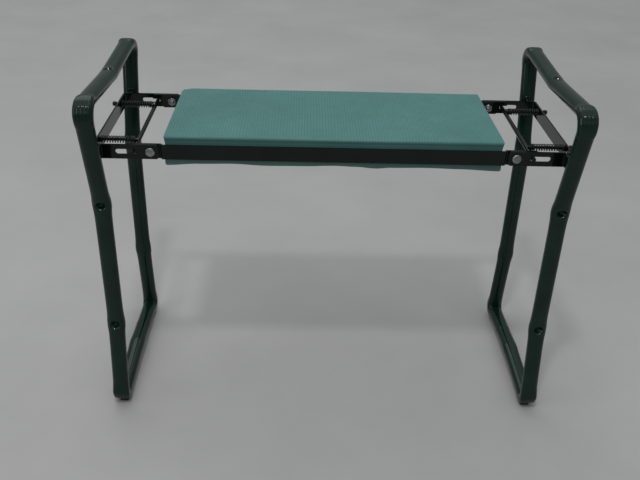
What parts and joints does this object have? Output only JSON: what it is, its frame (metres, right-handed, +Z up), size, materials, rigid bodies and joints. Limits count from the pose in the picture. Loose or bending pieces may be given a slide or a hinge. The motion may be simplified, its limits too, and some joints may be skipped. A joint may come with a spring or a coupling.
{
  "type": "folding garden kneeler seat",
  "caption": "Folding kneeler and seat: a ribbed foam pad in a flat bar frame between two hourglass tube legs that lock upright and fold inwards.",
  "frame": {"origin": "on the floor, below the middle of the seat, at the centre of the underside of the bounding box", "axes": "+X along the seat towards the right leg, +Y towards the rear, +Z up"},
  "size_m": [0.6036, 0.2826, 0.4534],
  "materials": {
    "green_tube": "dark green gloss enamel on bent oval tube",
    "green_bar": "dark green gloss enamel on flat bar and rod",
    "zinc_steel": "dull zinc plating",
    "spring_steel": "dark oiled spring wire",
    "ribbed_foam": "matte closed-cell foam with fine moulded ribs",
    "plain_foam": "matte closed-cell foam, cut sides",
    "hardboard": "pressed hardboard",
    "nylon": "natural nylon",
    "foot_rubber": "matte dark rubber, scuffed",
    "black_plastic": "moulded push-on cap"
  },
  "bodies": {
    "seat": {"front_rail": "green_bar", "rear_rail": "green_bar", "cross_tie_1": "green_bar", "cross_tie_2": "green_bar", "cross_tie_3": "green_bar", "seat_board": "hardboard", "foam_pad_top": "ribbed_foam", "foam_pad_bottom": "plain_foam", "pivot_bolt_front_left": "zinc_steel", "pivot_nut_front_left": "zinc_steel", "pivot_washer_front_left": "nylon", "pivot_bolt_rear_left": "zinc_steel", "pivot_nut_rear_left": "zinc_steel", "pivot_washer_rear_left": "nylon", "pivot_bolt_front_right": "zinc_steel", "pivot_nut_front_right": "zinc_steel", "pivot_washer_front_right": "nylon", "pivot_bolt_rear_right": "zinc_steel", "pivot_nut_rear_right": "zinc_steel", "pivot_washer_rear_right": "nylon"},
    "leg_left": {"leg_loop_left": "green_tube", "joint_sleeve_left": "zinc_steel", "bracket_left": "green_bar", "foot_front_left": "foot_rubber", "weld_stub_front_left": "green_bar", "lock_spring_front_left": "spring_steel", "foot_rear_left": "foot_rubber", "weld_stub_rear_left": "green_bar", "lock_spring_rear_left": "spring_steel"},
    "leg_right": {"leg_loop_right": "green_tube", "joint_sleeve_right": "zinc_steel", "bracket_right": "green_bar", "foot_front_right": "foot_rubber", "weld_stub_front_right": "green_bar", "lock_spring_front_right": "spring_steel", "foot_rear_right": "foot_rubber", "weld_stub_rear_right": "green_bar", "lock_spring_rear_right": "spring_steel"},
    "lock_left": {"lock_rod_left": "green_bar", "guide_rod_front_left": "green_bar", "guide_cap_front_left": "black_plastic", "spring_collar_front_left": "spring_steel", "guide_rod_rear_left": "green_bar", "guide_cap_rear_left": "black_plastic", "spring_collar_rear_left": "spring_steel"},
    "lock_right": {"lock_rod_right": "green_bar", "guide_rod_front_right": "green_bar", "guide_cap_front_right": "black_plastic", "spring_collar_front_right": "spring_steel", "guide_rod_rear_right": "green_bar", "guide_cap_rear_right": "black_plastic", "spring_collar_rear_right": "spring_steel"}
  },
  "joints": [
    {"name": "leg_left_fold", "type": "hinge", "parent": "seat", "child": "leg_left", "pos_m": [-0.2238, 0, 0.3742], "axis": [0, -1, 0], "range_deg": [0, 94]},
    {"name": "leg_right_fold", "type": "hinge", "parent": "seat", "child": "leg_right", "pos_m": [0.2238, 0, 0.3742], "axis": [0, 1, 0], "range_deg": [0, 86]},
    {"name": "lock_left_pull", "type": "slide", "parent": "leg_left", "child": "lock_left", "axis": [-1, 0, 0], "range_m": [0, 0.018], "stiffness_N_per_m": 400, "springref_m": -0.012, "deforming": ["lock_spring_front_left", "lock_spring_rear_left"]},
    {"name": "lock_right_pull", "type": "slide", "parent": "leg_right", "child": "lock_right", "axis": [1, 0, 0], "range_m": [0, 0.018], "stiffness_N_per_m": 400, "springref_m": -0.012, "deforming": ["lock_spring_front_right", "lock_spring_rear_right"]}
  ]
}
